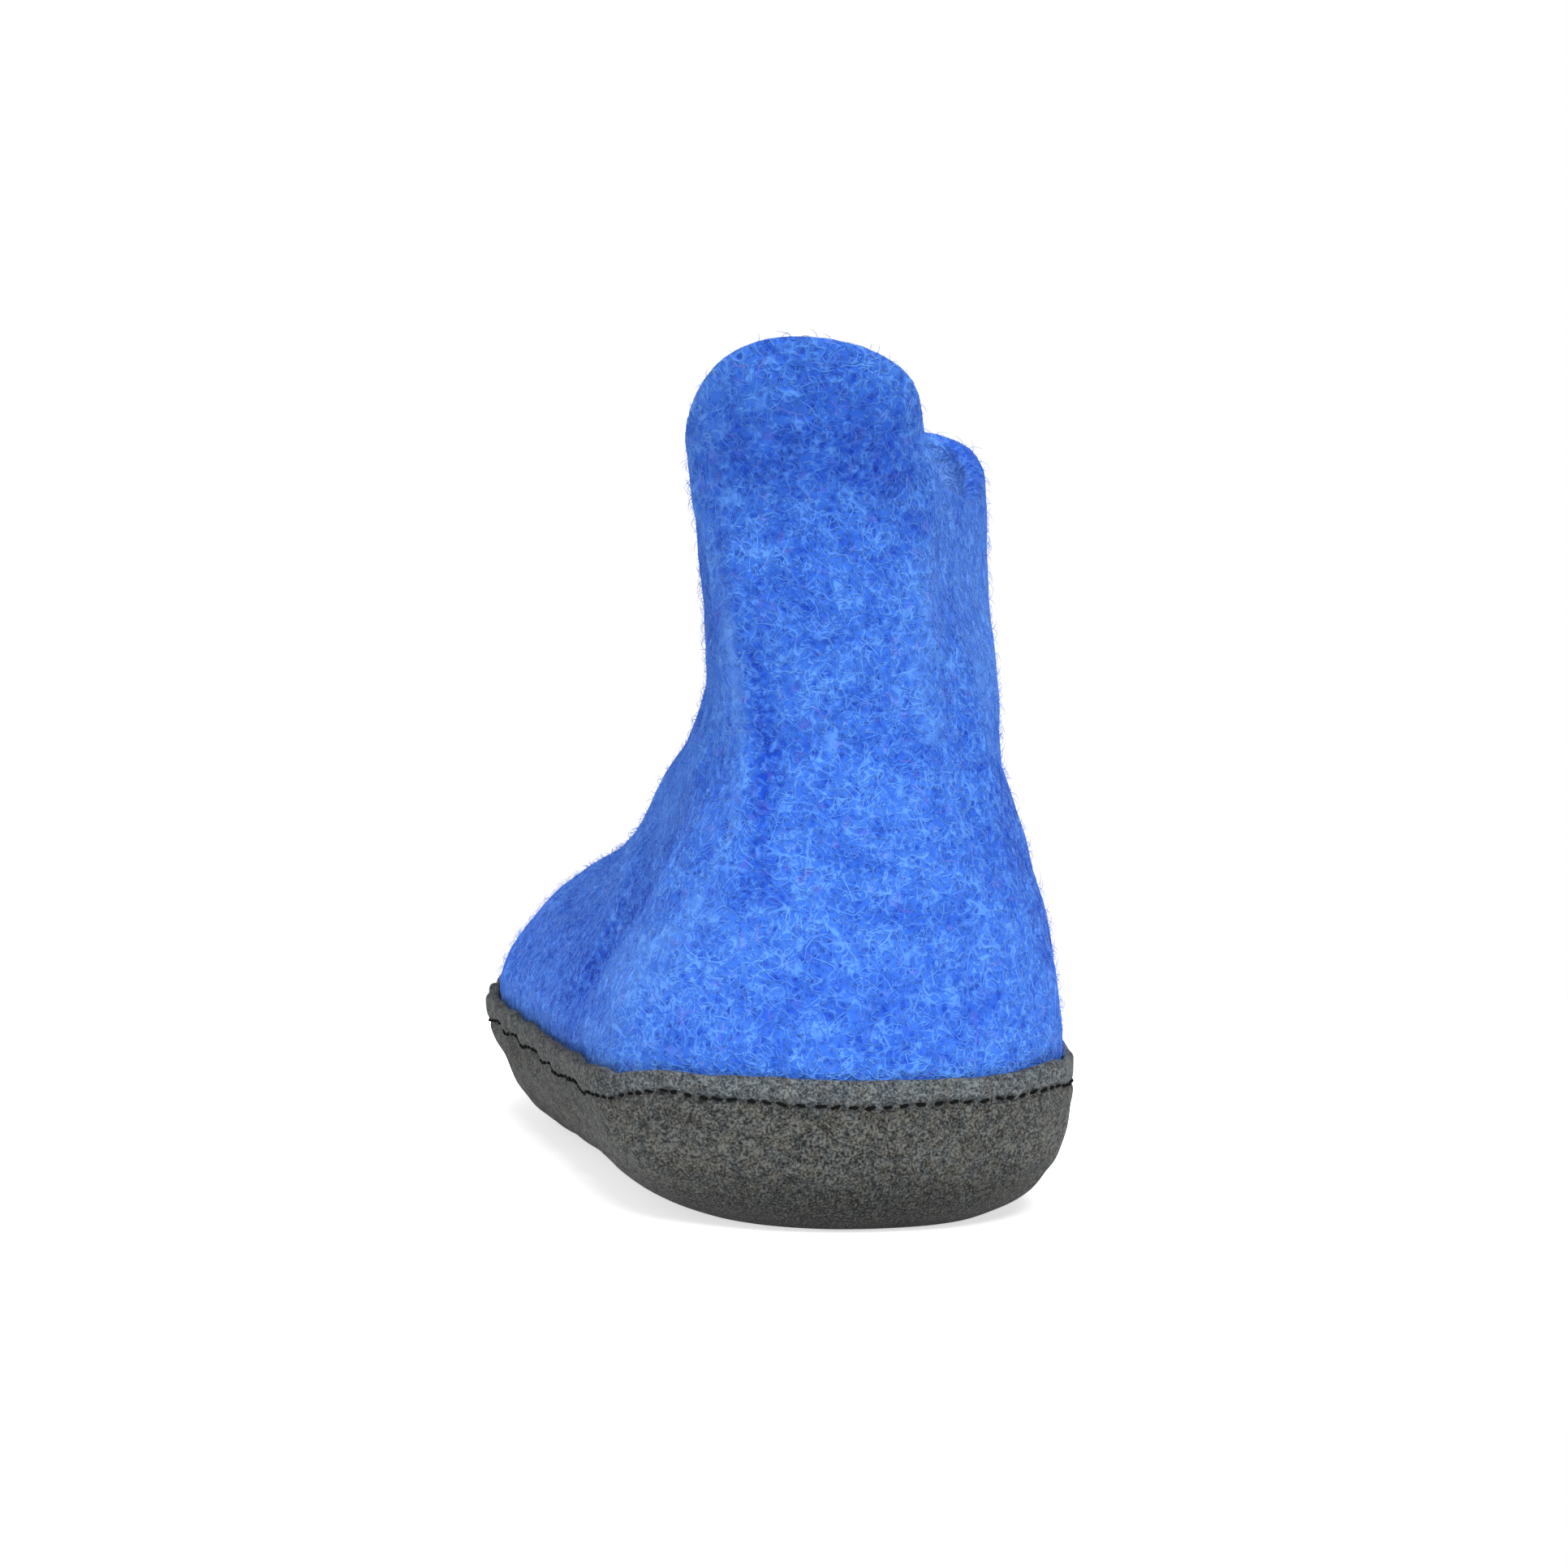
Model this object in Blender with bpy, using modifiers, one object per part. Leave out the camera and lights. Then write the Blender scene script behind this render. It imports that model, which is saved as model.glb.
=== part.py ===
"""Left slipper boot of thick wool felt: upper, turned-up suede sole and insole.

Sizes are millimetres here and metres in the meshes.  The boot stands on z = 0 with its
toe along +Y.  The outer side, with the little toe, is at -X.  Lengths along the foot are
measured from the back of the heel and moved to the middle of the outline at the end.
"""
import math

import bmesh
import bpy
import numpy as np

# Driving sizes
MM = 0.001
FELT = 4.0            # wall of the upper, and the insole
SUEDE = 2.5           # sole, with the rim that it turns up round the foot
GAP = 0.3             # between sole and upper, and between sole and insole
INSOLE_GAP = 0.5      # between the insole's edge and the upper's turned-in edge
FOOT_LENGTH = 276.0   # over the upper, at the edge of the sole's rim
HEEL_HALF = 41.2      # half the heel's width there
BALL_OUTER = 54.0     # ball's width there, from the middle line to the little-toe side
BALL_INNER = 45.5     # and to the big-toe side
SPRING = 7.0          # how far the toe tip is lifted
SPRING_FROM = 195.0   # where along the foot the lift starts
ARCH = 2.5            # how far the sole is hollowed under the inner side of the waist
OUTER_ARCH = 0.3      # share of that hollow under the outer side
WAIST_AT = 0.40       # places along the foot, as shares of its length
WAIST_REACH = 0.24
BALL_AT = 0.67
TOE_IN = 8.0          # how far the toe tip lies to the inner side of the middle line
TOE_FROM = 150.0      # where along the foot that bend starts
TWIST_AT = 65.0       # the shaft turns about an upright line this far along the foot
BED = SUEDE + GAP     # height of the upper's underside

# Rings round the boot, from the insole's edge up to the collar.  The in_ columns say how far
# a ring is set in from the outline of the sole's rim: at the back, at the toe tip, and at
# the outer and inner sides of heel and ball.  The heights are at the back and at the front
# of the ring, the rounds are the lengths of its two rounded ends, waist is its hollow on
# the inner side, ground is the share of toe spring and arch that it takes, twist is its
# turn in degrees, and dip is its share of the collar's side dips.
RING_COLUMNS = (
    "in_back", "in_toe", "in_heel_outer", "in_heel_inner", "in_ball_outer", "in_ball_inner",
    "back_z", "front_z", "back_round", "front_round", "waist", "ground", "twist", "dip",
)
RINGS = {
    "insole_edge": (17.0, 19.0, 23.0, 18.5, 19.5, 15.5, BED, BED, 27, 78, 3.0, 1.0, 0, 0),
    "tread": (13.0, 15.0, 19.0, 14.5, 15.5, 11.5, BED, BED, 31, 80, 3.5, 1.0, 0, 0),
    "turn": (6.0, 7.0, 10.0, 7.0, 8.5, 5.5, 7.0, 7.0, 36, 84, 4.0, 1.0, 0, 0),
    "wall": (2.0, 2.0, 3.0, 2.0, 3.3, 1.5, 15.0, 16.0, 40, 89, 4.5, 1.0, 0, 0),
    "sole_line": (0.0, 0.0, 0.0, 0.0, 0.0, 0.0, 28.0, 33.0, 43, 92, 4.5, 0.8, 0, 0),
    "toe_top": (1.0, 7.0, 1.2, 0.5, 8.5, 3.0, 38.0, 49.5, 42, 90, 3.0, 0.2, 0, 0),
    "vamp_low": (2.0, 33.0, 3.5, 2.2, 17.0, 5.0, 48.0, 57.5, 39, 88, 2.0, 0.0, 0, 0),
    "vamp_mid": (3.0, 71.0, 6.0, 4.6, 22.5, 7.0, 58.0, 64.0, 36, 82, 1.0, 0.0, 0.5, 0),
    "instep": (5.0, 114.0, 10.5, 9.0, 28.0, 8.5, 72.0, 79.0, 31, 66, 0.0, 0.0, 2.0, 0),
    "ankle": (7.0, 145.0, 16.5, 14.0, 33.5, 9.5, 88.0, 97.0, 27, 44, 0.0, 0.0, 4.0, 0),
    "shaft": (4.0, 157.0, 20.5, 19.0, 33.5, 12.5, 118.0, 120.0, 23, 34, 0.0, 0.0, 8.5, 0.45),
    "collar": (0.0, 161.0, 20.0, 20.8, 32.0, 14.5, 157.0, 149.0, 22, 32, 0.0, 0.0, 11.5, 1.0),
}
RING_NAMES = tuple(RINGS)
RING_TABLE = np.array(list(RINGS.values()), float)

# The collar's edge between its back tab and its front tab: place, and drop below a line on
# the outer side and on the inner side, where the back tab is broader
COLLAR_PLACES = (0.0, 0.06, 0.20, 0.38, 0.52, 0.72, 0.90, 1.0)
OUTER_DROPS = (0.0, 5.5, 16.0, 21.0, 21.0, 14.5, 5.0, 0.0)
INNER_DROPS = (0.0, 3.8, 16.0, 21.0, 21.0, 14.5, 5.0, 0.0)

# How finely the surface is divided
RING_HALF = 32        # points on each side of a ring
SOLE_LEVELS = 9       # rings from the insole's edge to the sole line
UPPER_LEVELS = 19     # and from there to the collar
BACK_POWER = 2.15     # roundness of the ring's ends: 2 is an ellipse, more is squarer
OUTER_TOE_POWER = 2.3
INNER_TOE_POWER = 2.6

FELT_BLUE = (0.035, 0.130, 0.640)
SUEDE_GREY = (0.070, 0.075, 0.072)
INSOLE_BLUE = (0.025, 0.090, 0.480)
FELT_ROUGH = 0.95
SUEDE_ROUGH = 0.90


def smooth_through(places, values, place):
    """Value at a place on the smooth curve that passes through each row of values."""
    places = np.asarray(places, float)
    values = np.asarray(values, float)
    slopes = np.gradient(values, places, axis=0)
    row = min(max(np.searchsorted(places, place, side="right") - 1, 0), len(places) - 2)
    span = places[row + 1] - places[row]
    t = (place - places[row]) / span
    rise = t * t * (3 - 2 * t)
    return (
        values[row] * (1 - rise)
        + values[row + 1] * rise
        + slopes[row] * span * t * (1 - t) ** 2
        - slopes[row + 1] * span * t * t * (1 - t)
    )


def level_of(name):
    return RING_NAMES.index(name)


def rounded_end(share, power):
    """Width of a rounded end, 0 at its tip and 1 where it meets the straight sides."""
    share = np.clip(share, 0, 1)
    return (1 - (1 - share) ** power) ** (1 / power)


def ease(share):
    share = np.clip(share, 0, 1)
    return share * share * (3 - 2 * share)


def hump(share):
    """Soft rise round the waist, as a share of its height, and nothing at heel and ball."""
    return np.clip(1 - ((share - WAIST_AT) / WAIST_REACH) ** 2, 0, None) ** 2


def half_width(size, share, outer):
    """Half width of a ring at each share of the way from its back to its front."""
    length = FOOT_LENGTH - size["in_back"] - size["in_toe"]
    outer_heel = HEEL_HALF - size["in_heel_outer"]
    inner_heel = HEEL_HALF - size["in_heel_inner"]
    outer_ball = BALL_OUTER - size["in_ball_outer"]
    inner_ball = BALL_INNER - size["in_ball_inner"]
    outer_side = outer_heel + (outer_ball - outer_heel) * np.clip(share / BALL_AT, 0, 1)
    inner_side = inner_heel + (inner_ball - inner_heel) * ease(share / BALL_AT)
    inner_side = inner_side - size["waist"] * hump(share)
    toe_power = np.where(outer, OUTER_TOE_POWER, INNER_TOE_POWER)
    back = rounded_end(share * length / size["back_round"], BACK_POWER)
    front = rounded_end((1 - share) * length / size["front_round"], toe_power)
    return np.where(outer, outer_side, inner_side) * back * front


def ground_lift(share, y, outer):
    """Toe spring, and the arch that fades towards the outer side."""
    spring = SPRING * np.clip((y - SPRING_FROM) / (FOOT_LENGTH - SPRING_FROM), 0, None) ** 2
    return spring + np.where(outer, OUTER_ARCH, 1.0) * ARCH * hump(share)


def toe_bend(y):
    """How far the middle line bends to the inner side towards the toe."""
    return TOE_IN * np.clip((y - TOE_FROM) / (FOOT_LENGTH - TOE_FROM), 0, None) ** 2


def collar_drop(share, drops):
    """How far the collar's edge drops below a straight line between its two tabs."""
    return np.array([smooth_through(COLLAR_PLACES, drops, place) for place in share])


def ring(level):
    """Points of the ring at a level: from the back along the outer side, then back again."""
    size = dict(zip(RING_COLUMNS, smooth_through(range(len(RINGS)), RING_TABLE, level)))
    index = np.arange(2 * RING_HALF)
    share = (1 - np.cos(math.pi * index / RING_HALF)) / 2
    outer = index <= RING_HALF
    width = half_width(size, share, outer)
    y = size["in_back"] + (FOOT_LENGTH - size["in_back"] - size["in_toe"]) * share
    x = np.where(outer, -width, width) + toe_bend(y)
    z = np.maximum(size["back_z"] + (size["front_z"] - size["back_z"]) * share, BED)
    z = z + size["ground"] * ground_lift(share, y, outer)
    drop = np.where(outer, collar_drop(share, OUTER_DROPS), collar_drop(share, INNER_DROPS))
    z = z - size["dip"] * drop
    turn = math.radians(size["twist"])
    ahead = y - TWIST_AT
    turned_x = x * math.cos(turn) + ahead * math.sin(turn)
    turned_y = TWIST_AT + ahead * math.cos(turn) - x * math.sin(turn)
    return np.stack([turned_x, turned_y, z], axis=1)


def outline_middle():
    """Middle of the sole-rim outline, which becomes the part's origin."""
    outline = ring(level_of("sole_line"))
    middle = (outline.min(axis=0) + outline.max(axis=0)) / 2
    return np.array([middle[0], middle[1], 0.0])


def across(mesh, points):
    """Close a ring across the foot with strips between its two sides, facing down."""
    for i in range(RING_HALF):
        strip = [points[i], points[i + 1], points[-i - 1], points[-i]]
        mesh.faces.new(list(dict.fromkeys(strip)))


def between(mesh, low, high):
    """Wall between two rings, facing out."""
    for i in range(len(low)):
        mesh.faces.new([low[i - 1], high[i - 1], high[i], low[i]])


def loft(name, levels, floored):
    """Open surface through the rings at the given levels, with a floor where one is wanted."""
    middle = outline_middle()
    mesh = bmesh.new()
    rings = [[mesh.verts.new((point - middle) * MM) for point in ring(level)] for level in levels]
    if floored:
        across(mesh, rings[0])
    for low, high in zip(rings, rings[1:]):
        between(mesh, low, high)
    data = bpy.data.meshes.new(name)
    mesh.to_mesh(data)
    mesh.free()
    data.shade_smooth()
    return bpy.data.objects.new(name, data)


def thicken(piece, thickness, offset):
    """Give the surface its thickness: offset -1 grows inwards and 1 outwards."""
    shell = piece.modifiers.new("thickness", "SOLIDIFY")
    shell.thickness = thickness * MM
    shell.offset = offset
    shell.use_even_offset = True
    shell.use_quality_normals = True


def material(name, colour, roughness):
    made = bpy.data.materials.new(name)
    made.use_nodes = True
    shader = made.node_tree.nodes["Principled BSDF"]
    shader.inputs["Base Color"].default_value = (*colour, 1.0)
    shader.inputs["Roughness"].default_value = roughness
    shader.inputs["Metallic"].default_value = 0.0
    return made


def sole_levels():
    return np.linspace(level_of("insole_edge"), level_of("sole_line"), SOLE_LEVELS)


def make_upper():
    """Felt upper, one piece, open at the collar and under the foot inside the sole's edge."""
    edge = level_of("insole_edge") + INSOLE_GAP / (RINGS["insole_edge"][0] - RINGS["tread"][0])
    above = np.linspace(level_of("sole_line"), level_of("collar"), UPPER_LEVELS)
    upper = loft("upper", [edge, *sole_levels()[1:], *above[1:]], floored=False)
    thicken(upper, FELT, -1)
    upper.data.materials.append(material("blue_felt", FELT_BLUE, FELT_ROUGH))
    return upper


def make_sole():
    """Suede sole: a flat bottom turned up round the foot as far as the sole line."""
    sole = loft("sole", sole_levels(), floored=True)
    thicken(sole, SUEDE, 1 + 2 * GAP / SUEDE)
    sole.data.materials.append(material("grey_suede", SUEDE_GREY, SUEDE_ROUGH))
    return sole


def make_insole():
    """Felt insole, lying on the sole inside the upper's turned-in edge."""
    insole = loft("insole", [level_of("insole_edge")], floored=True)
    thicken(insole, FELT, -1)
    insole.data.materials.append(material("insole_felt", INSOLE_BLUE, FELT_ROUGH))
    return insole


def main():
    for old in list(bpy.data.objects):
        bpy.data.objects.remove(old, do_unlink=True)
    boot = bpy.data.collections.new("slipper_boot")
    bpy.context.scene.collection.children.link(boot)
    for piece in (make_upper(), make_sole(), make_insole()):
        boot.objects.link(piece)


main()
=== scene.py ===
"""Looks of a left slipper boot: felt upper with its loose wool, suede sole, stitches, insole.

Sizes are millimetres here and metres in the meshes.  The boot stands on z = 0 with its toe
along +Y.  The outer side, with the little toe, is at -X.  The felt and the sole follow the
same rings as the solids, with creases, lumps, a hand-cut rim and loose wool added.
"""

import math

import bpy
import numpy as np
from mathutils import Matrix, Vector


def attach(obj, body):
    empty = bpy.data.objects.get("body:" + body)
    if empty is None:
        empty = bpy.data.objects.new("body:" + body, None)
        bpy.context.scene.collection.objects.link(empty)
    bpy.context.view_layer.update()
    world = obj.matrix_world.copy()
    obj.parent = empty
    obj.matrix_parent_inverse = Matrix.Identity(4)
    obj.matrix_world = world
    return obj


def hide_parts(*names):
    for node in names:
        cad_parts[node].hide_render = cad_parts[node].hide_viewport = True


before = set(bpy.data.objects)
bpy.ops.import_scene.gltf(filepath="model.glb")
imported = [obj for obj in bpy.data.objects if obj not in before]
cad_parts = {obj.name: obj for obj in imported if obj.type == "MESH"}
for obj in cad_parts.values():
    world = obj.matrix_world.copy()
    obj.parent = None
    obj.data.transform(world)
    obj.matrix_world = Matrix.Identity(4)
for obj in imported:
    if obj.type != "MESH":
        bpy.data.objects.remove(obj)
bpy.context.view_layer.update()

# Driving sizes of the boot, as in its solids
MM = 0.001
FELT = 4.0
SUEDE = 2.5
GAP = 0.3
FOOT_LENGTH = 276.0
HEEL_HALF = 41.2
BALL_OUTER = 54.0
BALL_INNER = 45.5
SPRING = 7.0
SPRING_FROM = 195.0
ARCH = 2.5
OUTER_ARCH = 0.3
WAIST_AT = 0.40
WAIST_REACH = 0.24
BALL_AT = 0.67
TOE_IN = 8.0
TOE_FROM = 150.0
TWIST_AT = 65.0
BED = SUEDE + GAP
BACK_POWER = 2.15
OUTER_TOE_POWER = 2.3
INNER_TOE_POWER = 2.6

# Rings round the boot, from the insole's edge up to the collar.  The in_ columns say how far
# a ring is set in from the outline of the sole's rim: at the back, at the toe tip, and at
# the outer and inner sides of heel and ball.  The heights are at the back and at the front
# of the ring, the rounds are the lengths of its two rounded ends, waist is its hollow on
# the inner side, ground is the share of toe spring and arch that it takes, twist is its
# turn in degrees, and dip is its share of the collar's side dips.
RING_COLUMNS = (
    "in_back", "in_toe", "in_heel_outer", "in_heel_inner", "in_ball_outer", "in_ball_inner",
    "back_z", "front_z", "back_round", "front_round", "waist", "ground", "twist", "dip",
)
RINGS = {
    "insole_edge": (17.0, 19.0, 23.0, 18.5, 19.5, 15.5, BED, BED, 27, 78, 3.0, 1.0, 0, 0),
    "tread": (13.0, 15.0, 19.0, 14.5, 15.5, 11.5, BED, BED, 31, 80, 3.5, 1.0, 0, 0),
    "turn": (6.0, 7.0, 10.0, 7.0, 8.5, 5.5, 7.0, 7.0, 36, 84, 4.0, 1.0, 0, 0),
    "wall": (2.0, 2.0, 3.0, 2.0, 3.3, 1.5, 15.0, 16.0, 40, 89, 4.5, 1.0, 0, 0),
    "sole_line": (0.0, 0.0, 0.0, 0.0, 0.0, 0.0, 28.0, 33.0, 43, 92, 4.5, 0.8, 0, 0),
    "toe_top": (1.0, 7.0, 1.2, 0.5, 8.5, 3.0, 38.0, 49.5, 42, 90, 3.0, 0.2, 0, 0),
    "vamp_low": (2.0, 33.0, 3.5, 2.2, 17.0, 5.0, 48.0, 57.5, 39, 88, 2.0, 0.0, 0, 0),
    "vamp_mid": (3.0, 71.0, 6.0, 4.6, 22.5, 7.0, 58.0, 64.0, 36, 82, 1.0, 0.0, 0.5, 0),
    "instep": (5.0, 114.0, 10.5, 9.0, 28.0, 8.5, 72.0, 79.0, 31, 66, 0.0, 0.0, 2.0, 0),
    "ankle": (7.0, 145.0, 16.5, 14.0, 33.5, 9.5, 88.0, 97.0, 27, 44, 0.0, 0.0, 4.0, 0),
    "shaft": (4.0, 157.0, 20.5, 19.0, 33.5, 12.5, 118.0, 120.0, 23, 34, 0.0, 0.0, 8.5, 0.45),
    "collar": (0.0, 161.0, 20.0, 20.8, 32.0, 14.5, 157.0, 149.0, 22, 32, 0.0, 0.0, 11.5, 1.0),
}
RING_NAMES = tuple(RINGS)
RING_LEVELS = np.arange(len(RINGS), dtype=float)
RING_TABLE = np.array(list(RINGS.values()), float).T
TREAD = RING_LEVELS[RING_NAMES.index("tread")]
SOLE_LINE = RING_LEVELS[RING_NAMES.index("sole_line")]
COLLAR = RING_LEVELS[RING_NAMES.index("collar")]

# The collar's edge between its back tab and its front tab: place, and drop below a line on
# the outer side and on the inner side, where the back tab is broader
COLLAR_PLACES = np.array([0.0, 0.06, 0.20, 0.38, 0.52, 0.72, 0.90, 1.0])
OUTER_DROPS = np.array([0.0, 5.5, 16.0, 21.0, 21.0, 14.5, 5.0, 0.0])
INNER_DROPS = np.array([0.0, 3.8, 16.0, 21.0, 21.0, 14.5, 5.0, 0.0])

# Creases in the felt: how far it stands out or, below nothing, sinks in, how wide the soft
# slope is on each side, and the line that the crease follows over the boot
CREASES = {
    "heel_cord_edge": (1.3, 5.0, ((-20, -126, 122), (-16, -125, 98), (-16, -125, 85), (-17, -128, 64))),
    "heel_cord_step": (-2.4, 8.5, ((-25, -105, 116), (-23.5, -107, 97), (-23.5, -109, 88))),
    "heel_cord_shade": (-0.8, 4.0, ((-14, -128, 100), (-13, -127, 85), (-12, -130, 70))),
    "heel_fold": (-0.9, 2.6, ((-14, -126.5, 86), (-8, -129.5, 86), (-2, -131, 86.5))),
    "heel_fold_lip": (0.7, 3.2, ((-10, -129, 80), (2, -131, 80.5))),
    "heel_swell": (1.2, 11.0, ((-6, -134, 66), (6, -134, 64))),
    "tab_hollow": (-2.6, 11.0, ((-16, -130, 124), (0, -134, 125), (12, -130, 123))),
    "tab_lip": (2.8, 10.0, ((-12, -132, 151), (0, -137, 152), (8, -134, 151))),
    "right_edge": (1.0, 5.0, ((16, -122, 133), (14, -128, 103), (15, -128, 88), (17, -130, 72))),
    "right_hollow": (-1.2, 6.0, ((21, -116, 118), (20, -121, 95), (23, -124, 76))),
    "outer_fold_ridge": (2.0, 6.0, ((-21, -126, 59), (-29, -118, 48), (-37, -106, 39))),
    "outer_fold_trough": (-2.6, 8.0, ((-23, -116, 80), (-30, -85, 61), (-40, -54, 41))),
    "waist_ridge": (2.2, 6.0, ((-29, -60, 62), (-33, -51, 53), (-39, -49, 43))),
    "instep_trough": (-1.8, 8.0, ((-14, -32, 88), (8, -22, 90), (27, -34, 88))),
    "instep_ridge": (1.2, 9.0, ((-16, -18, 74), (10, -6, 75), (32, -20, 73))),
    "inner_trough": (-1.3, 8.0, ((24, -100, 84), (33, -80, 66), (40, -62, 48))),
}
# Painted highlights and painted shade: where the wool is paler or, below nothing, darker, how much, how
# wide, and along which line
SHADES = {
    "heel_cord_top_pale": (0.30, 2.6, ((-23, -121, 122), (-21, -123, 112))),
    "heel_cord_pale": (0.62, 3.2, ((-20, -123, 107), (-18, -123, 97), (-18, -123, 85), (-18, -126, 72))),
    "heel_cord_dark": (-0.85, 3.8, ((-15, -127, 102), (-14, -126, 86), (-14, -128, 72), (-15, -130, 60))),
    "heel_fold_dark": (-0.65, 1.8, ((-14, -127, 86), (-8, -129.5, 86), (-2, -131, 86.5), (3, -131, 86.5))),
    "heel_low_dark": (-0.40, 2.2, ((-24, -130, 40), (-6, -137, 39), (8, -137, 40))),
    "tab_pale": (0.25, 6.0, ((-12, -132, 153), (0, -136, 155), (9, -133, 153))),
    "tab_dark": (-0.65, 10.0, ((-18, -130, 135), (0, -135, 137), (14, -130, 135))),
    "right_pale": (0.30, 3.0, ((16, -122, 133), (14, -128, 103), (15, -128, 88))),
    "waist_pale": (0.40, 4.0, ((-29, -60, 62), (-33, -51, 53), (-39, -49, 43))),
    "outer_fold_pale": (0.35, 5.0, ((-21, -126, 59), (-29, -118, 48), (-37, -106, 39))),
    "outer_fold_dark": (-0.60, 9.0, ((-23, -116, 80), (-30, -85, 61), (-40, -54, 41))),
    "outer_side_dark": (-0.80, 28.0, ((-42, -60, 42), (-44, 30, 44), (-32, 105, 42))),
    "inner_side_dark": (
        -0.90, 15.0, ((29, -108, 72), (34, -106, 50), (42, -50, 40), (44, 50, 44), (34, 110, 44)),
    ),
    "collar_right_dark": (-0.80, 6.0, ((33, -44, 147), (36, -53, 142), (36, -63, 138), (34, -76, 133))),
}
LUMPS = ((0.25, 38.0, 3), (0.12, 17.0, 4))   # height, length, seed
LUMP_FADE = 0.7       # share of a ring's step over which they start above the sole line

# The sole's rim and its stitches.  The rim is cut by hand: the raises say how far its edge lies
# above the sole line, at places round it from the back along the outer side.
RIM_PLACES = np.array([0.0, 0.045, 0.07, 0.10, 0.15, 0.19, 0.235, 0.32, 0.50, 0.93, 1.0])
RIM_RAISES = np.array([-0.5, 0.6, 0.4, -0.5, -1.8, -2.5, -3.1, -2.6, 0.0, 0.3, -0.5])
RIM_WAVES = ((0.25, 30.0, 5), (0.12, 11.0, 6))   # height, length, seed
RIM_BULGE = 0.06      # how far the band above the stitches stands out
RIM_SLOPE_AT = 0.5    # levels below the sole line where the wall's slope is taken
SUEDE_LUMPS = ((0.34, 18.0, 7), (0.10, 7.0, 8))
SUEDE_LUMP_FADE = 2.0   # levels over which they start above the tread
GROOVE = 0.40
GROOVE_HALF = 0.75
BAND_FADE = 1.6       # over which the band's paler colour ends at the stitches
SHADE_HEIGHT = 16.0    # how far up from the floor painted shade makes the suede darker
# Painted shade along the sole's outer side
OUTER_SHADE = 0.30
OUTER_FROM = 8.0      # the outer side starts this far within the heel's half width
OUTER_REACH = 12.0
OUTER_CALM = 0.6      # painted shade: how much less pale the band above the stitches is on the outer side
# Painted shade in the stitch groove
GROOVE_SHADE = 0.40
STITCH_DROP = 3.5     # from the rim's edge down to the stitches
STITCH_WANDER = ((0.4, 40.0, 9),)   # height, length, seed
STITCH_PITCH = 3.05
STITCH_LENGTH = 2.0
STITCH_LENGTHS = (0.75, 1.15)   # shortest and longest, by that length
STITCH_SHIFT = 0.13   # how far a stitch lies off its place, by the pitch
STITCH_TILT = 0.22    # usual slant, as a slope
STITCH_POINTS = 7
STITCH_HEIGHT = 0.35  # height of its middle over the suede, by the thread's thickness
STITCH_DIP = 1.1      # how far its ends dip below that, by the same
STITCH_SIDES = 8
STITCH_SEED = 21
THREAD = 0.62         # thickness of the thread
THREAD_SPREAD = (0.85, 1.1)
LINE_POINTS = 4001    # points along the stitch line for measuring it

# How finely the surfaces are divided
FELT_COLUMNS = 320
SOLE_COLUMNS = 560
NEAR = 1e-3           # step for slopes, as a share of a ring's step or of the way round
COLLAR_EDGE = 0.026   # length of the collar's round edge, as a share of the way up the felt
RIM_EDGE = 0.09       # and of the rim's, as a share of the way up the suede
COLLAR_ROUND = 0.85   # 1 is a half circle, less is squarer
RIM_ROUND = 0.75
WAVE_COUNT = 18
WAVE_RATES = (0.6, 1.5)   # slowest and fastest wave of a field, by its usual one

# Rings of the walls' faces: where up the wall they start and end, and how many there are
FELT_IN_SOLE = (0.01, 0.34, 10)
FELT_SHOWN = (0.35, 1.0, 112)
FELT_LINING = (1.0, 1.99, 50)
SUEDE_LOW = (0.0, 0.55, 22)
SUEDE_HIGH = (0.56, 1.0, 46)
SUEDE_LINING = (1.0, 2.0, 12)
EDGE_RINGS = 11       # over a wall's round edge
INSOLE_EDGE_RINGS = 9
SOLE_RINGS = 7        # rings that close a face across its middle line
BED_RINGS = 4
INSOLE_RINGS = 18
NARROWEST = 0.06      # width of the narrowest of them, by the face's own

# Loose wool on the felt
STRAND_PIECES = 4
STRANDS_A_PIECE = 4800
STRAND_LENGTHS = (3.0, 8.0)
STRAND_RADII = (0.07, 0.13)
STRAND_TAPER = (0.55, 1, 1, 1, 0.55)
STRAND_POINTS = len(STRAND_TAPER)
STRAND_CURL = 0.32    # usual bend, in radians for each millimetre
STRAND_WANDER = 0.25  # usual turn at each point besides, in radians
STRAND_LIFT = 0.08
STRAND_SINK = 0.25
STRAND_UNEVEN = (0.5, 1.2)   # least and most of both at a point
FUZZ_COUNT = 8000
FUZZ_LENGTHS = (0.9, 3.2)
FUZZ_RADIUS = 0.05
FUZZ_PLACES = (0, 0.35, 0.7, 1)
FUZZ_TAPER = (1, 0.9, 0.6, 0.2)
FUZZ_LEAN = 0.9       # how far its tip leans over, by its length
FUZZ_LEAN_POWER = 1.6
FUZZ_RISE = 0.75      # how far it would rise if it did not droop, and how far it droops
FUZZ_DROOP = 0.35
FUZZ_SINK = 0.1
FUZZ_TINTS = (0.3, 1)
WOOL_FLATNESS = 0.6   # how far the strands are pressed into the felt
WOOL_SIDES = 3
WOOL_SEED = 11
WOOL_FROM = 0.36      # how far up the felt the wool starts,
WOOL_INSIDE = 1.04    # and how far up it and down inside it goes
WOOL_ABOVE_RIM = 0.08   # levels between the rim's edge and the lowest wool
WOOL_CELLS = (220, 360)   # up and round, for spreading the wool evenly
MAP_MARGIN = 0.2      # bare edge of each tube's square in its texture map
MAP_STEP = 7          # keeps points that are neighbours apart in that square

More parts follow.
